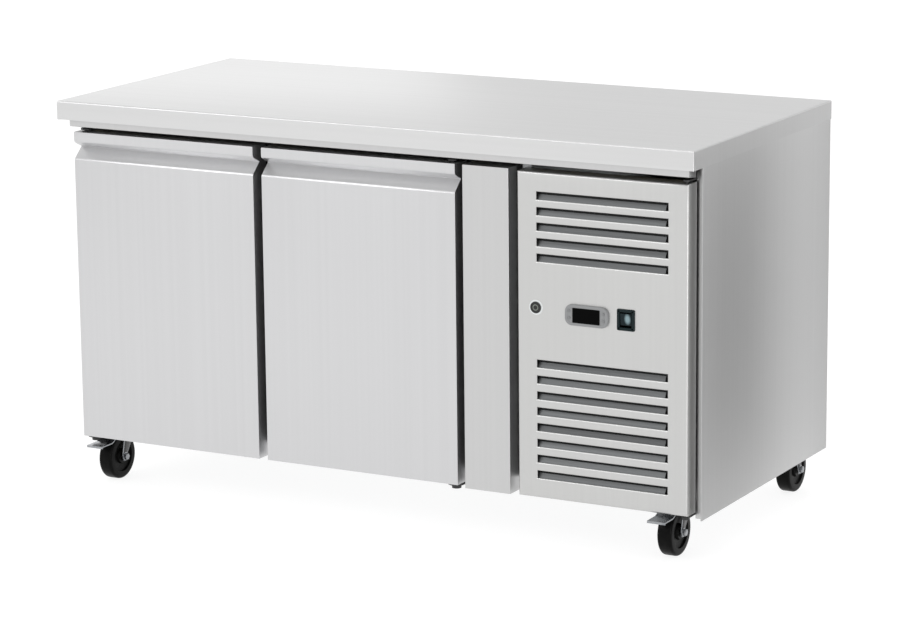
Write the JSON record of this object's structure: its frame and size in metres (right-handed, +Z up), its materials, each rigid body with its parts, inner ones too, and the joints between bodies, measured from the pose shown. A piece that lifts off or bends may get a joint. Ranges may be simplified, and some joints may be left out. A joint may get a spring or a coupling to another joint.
{
  "type": "undercounter refrigerator",
  "caption": "Two-door stainless undercounter refrigerator with flat worktop, integral handles, louvred machine panel on the right and four swivel castors.",
  "frame": {"origin": "on the floor under the centre of the bounding box", "axes": "+X to the right along the front, +Y to the back, +Z up"},
  "size_m": [1.5, 0.7, 0.85],
  "materials": {
    "stainless_top": "fine satin brushed stainless",
    "stainless": "satin brushed stainless",
    "stainless_door": "satin brushed stainless",
    "stainless_panel": "satin brushed stainless",
    "liner_steel": "satin stainless liner",
    "galvanised": "galvanised sheet",
    "foam": "rigid polyurethane foam",
    "black_plastic": "matte black plastic",
    "white_plastic": "moulded plastic",
    "gasket": "soft grey seal",
    "rubber": "rubber",
    "tyre": "black rubber wheel",
    "zinc": "bright zinc plate",
    "zinc_dark": "dark coated steel",
    "black_paint": "gloss black paint",
    "motor_black": "black paint",
    "fins": "thin aluminium fins",
    "fins_dark": "dark aluminium fins",
    "copper": "copper tube",
    "wire_coat": "bright wire",
    "fan_plastic": "moulded plastic",
    "fan_alu": "pressed aluminium",
    "lock_black": "black chrome",
    "lock_metal": "nickel plate",
    "controller_grey": "grey moulded plastic",
    "display_black": "smoked window",
    "key_grey": "soft key",
    "switch_black": "black moulded plastic",
    "switch_lens": "dark green-blue translucent lens"
  },
  "bodies": {
    "root": {"worktop_skin": "stainless_top", "side_panel_left": "stainless", "side_panel_right": "stainless", "back_panel": "galvanised", "base_pan": "galvanised", "partition_panel": "galvanised", "insulation_foam": "foam", "inner_liner": "liner_steel", "breaker_frame": "black_plastic", "front_pillar": "stainless", "top_front_rail": "stainless", "hinge_brackets": "zinc_dark", "shelf_supports": "liner_steel", "evaporator_coil": "fins", "evaporator_cover": "liner_steel", "fan_motors": "motor_black", "drip_pan": "white_plastic", "compressor": "black_paint", "compressor_mounts": "rubber", "unit_tray": "galvanised", "condenser_coil": "fins_dark", "fan_shroud": "black_paint", "refrigerant_pipes": "copper", "condensate_tray": "white_plastic", "cable_gland": "black_plastic", "castor_plates": "zinc", "screws": "zinc"},
    "door_left": {"door_left_skin": "stainless_door", "door_left_foam": "foam", "door_left_liner": "liner_steel", "door_left_gasket": "gasket"},
    "door_right": {"door_right_skin": "stainless_door", "door_right_foam": "foam", "door_right_liner": "liner_steel", "door_right_gasket": "gasket"},
    "panel": {"machine_panel": "stainless_panel", "lock_barrel": "lock_black", "controller_case": "controller_grey", "controller_display": "display_black", "switch_frame": "switch_black"},
    "lock": {"lock_plug": "lock_metal"},
    "rocker": {"switch_rocker": "switch_lens"},
    "key_set": {"key_set": "key_grey"},
    "key_up": {"key_up": "key_grey"},
    "key_down": {"key_down": "key_grey"},
    "key_defrost": {"key_defrost": "key_grey"},
    "shelf_left": {"shelf_left": "wire_coat"},
    "shelf_right": {"shelf_right": "wire_coat"},
    "evaporator_fan": {"evaporator_fan": "fan_plastic"},
    "condenser_fan": {"condenser_fan": "fan_alu"},
    "castor_fork_front_left": {"castor_fork_front_left": "zinc"},
    "castor_wheel_front_left": {"castor_wheel_front_left": "tyre"},
    "castor_fork_front_right": {"castor_fork_front_right": "zinc"},
    "castor_wheel_front_right": {"castor_wheel_front_right": "tyre"},
    "castor_fork_rear_left": {"castor_fork_rear_left": "zinc"},
    "castor_wheel_rear_left": {"castor_wheel_rear_left": "tyre"},
    "castor_fork_rear_right": {"castor_fork_rear_right": "zinc"},
    "castor_wheel_rear_right": {"castor_wheel_rear_right": "tyre"},
    "brake_pedal_front_left": {"brake_pedal_front_left": "zinc"},
    "brake_pedal_front_right": {"brake_pedal_front_right": "zinc"}
  },
  "joints": [
    {"name": "door_left_hinge", "type": "hinge", "parent": "root", "child": "door_left", "pos_m": [-0.7, -0.313, 0.446], "axis": [0, 0, -1], "range_deg": [0, 100]},
    {"name": "door_right_hinge", "type": "hinge", "parent": "root", "child": "door_right", "pos_m": [0.198, -0.313, 0.446], "axis": [0, 0, 1], "range_deg": [0, 100]},
    {"name": "panel_hinge", "type": "hinge", "parent": "root", "child": "panel", "pos_m": [0.722, -0.32, 0.443], "axis": [0, 0, 1], "range_deg": [0, 110]},
    {"name": "lock_turn", "type": "hinge", "parent": "panel", "child": "lock", "pos_m": [0.396, -0.335, 0.503], "axis": [0, 1, 0], "range_deg": [0, 90]},
    {"name": "rocker_tilt", "type": "hinge", "parent": "panel", "child": "rocker", "pos_m": [0.597, -0.327, 0.496], "axis": [-1, 0, 0], "range_deg": [0, 14]},
    {"name": "key_set_press", "type": "slide", "parent": "panel", "child": "key_set", "axis": [0, 1, 0], "range_m": [0, 0.0006], "stiffness_N_per_m": 400},
    {"name": "key_up_press", "type": "slide", "parent": "panel", "child": "key_up", "axis": [0, 1, 0], "range_m": [0, 0.0006], "stiffness_N_per_m": 400},
    {"name": "key_down_press", "type": "slide", "parent": "panel", "child": "key_down", "axis": [0, 1, 0], "range_m": [0, 0.0006], "stiffness_N_per_m": 400},
    {"name": "key_defrost_press", "type": "slide", "parent": "panel", "child": "key_defrost", "axis": [0, 1, 0], "range_m": [0, 0.0006], "stiffness_N_per_m": 400},
    {"name": "shelf_left_lift", "type": "slide", "parent": "root", "child": "shelf_left", "axis": [0, 0, 1], "range_m": [0, 0.04]},
    {"name": "shelf_right_lift", "type": "slide", "parent": "root", "child": "shelf_right", "axis": [0, 0, 1], "range_m": [0, 0.04]},
    {"name": "evaporator_fan_spin", "type": "hinge", "parent": "root", "child": "evaporator_fan", "pos_m": [0.219, 0, 0.6], "axis": [1, 0, 0], "continuous": true},
    {"name": "condenser_fan_spin", "type": "hinge", "parent": "root", "child": "condenser_fan", "pos_m": [0.52, -0.115, 0.31], "axis": [0, 1, 0], "continuous": true},
    {"name": "castor_front_left_swivel", "type": "hinge", "parent": "root", "child": "castor_fork_front_left", "pos_m": [-0.685, -0.228, 0.12], "axis": [0, 0, 1], "continuous": true},
    {"name": "castor_front_left_roll", "type": "hinge", "parent": "castor_fork_front_left", "child": "castor_wheel_front_left", "pos_m": [-0.685, -0.258, 0.05], "axis": [1, 0, 0], "continuous": true},
    {"name": "castor_front_right_swivel", "type": "hinge", "parent": "root", "child": "castor_fork_front_right", "pos_m": [0.668, -0.228, 0.12], "axis": [0, 0, 1], "continuous": true},
    {"name": "castor_front_right_roll", "type": "hinge", "parent": "castor_fork_front_right", "child": "castor_wheel_front_right", "pos_m": [0.668, -0.258, 0.05], "axis": [1, 0, 0], "continuous": true},
    {"name": "castor_rear_left_swivel", "type": "hinge", "parent": "root", "child": "castor_fork_rear_left", "pos_m": [-0.685, 0.268, 0.12], "axis": [0, 0, 1], "continuous": true},
    {"name": "castor_rear_left_roll", "type": "hinge", "parent": "castor_fork_rear_left", "child": "castor_wheel_rear_left", "pos_m": [-0.685, 0.298, 0.05], "axis": [1, 0, 0], "continuous": true},
    {"name": "castor_rear_right_swivel", "type": "hinge", "parent": "root", "child": "castor_fork_rear_right", "pos_m": [0.688, 0.268, 0.12], "axis": [0, 0, 1], "continuous": true},
    {"name": "castor_rear_right_roll", "type": "hinge", "parent": "castor_fork_rear_right", "child": "castor_wheel_rear_right", "pos_m": [0.688, 0.298, 0.05], "axis": [1, 0, 0], "continuous": true},
    {"name": "brake_front_left_press", "type": "hinge", "parent": "castor_fork_front_left", "child": "brake_pedal_front_left", "pos_m": [-0.685, -0.246, 0.106], "axis": [1, 0, 0], "range_deg": [0, 5]},
    {"name": "brake_front_right_press", "type": "hinge", "parent": "castor_fork_front_right", "child": "brake_pedal_front_right", "pos_m": [0.668, -0.246, 0.106], "axis": [1, 0, 0], "range_deg": [0, 5]}
  ]
}
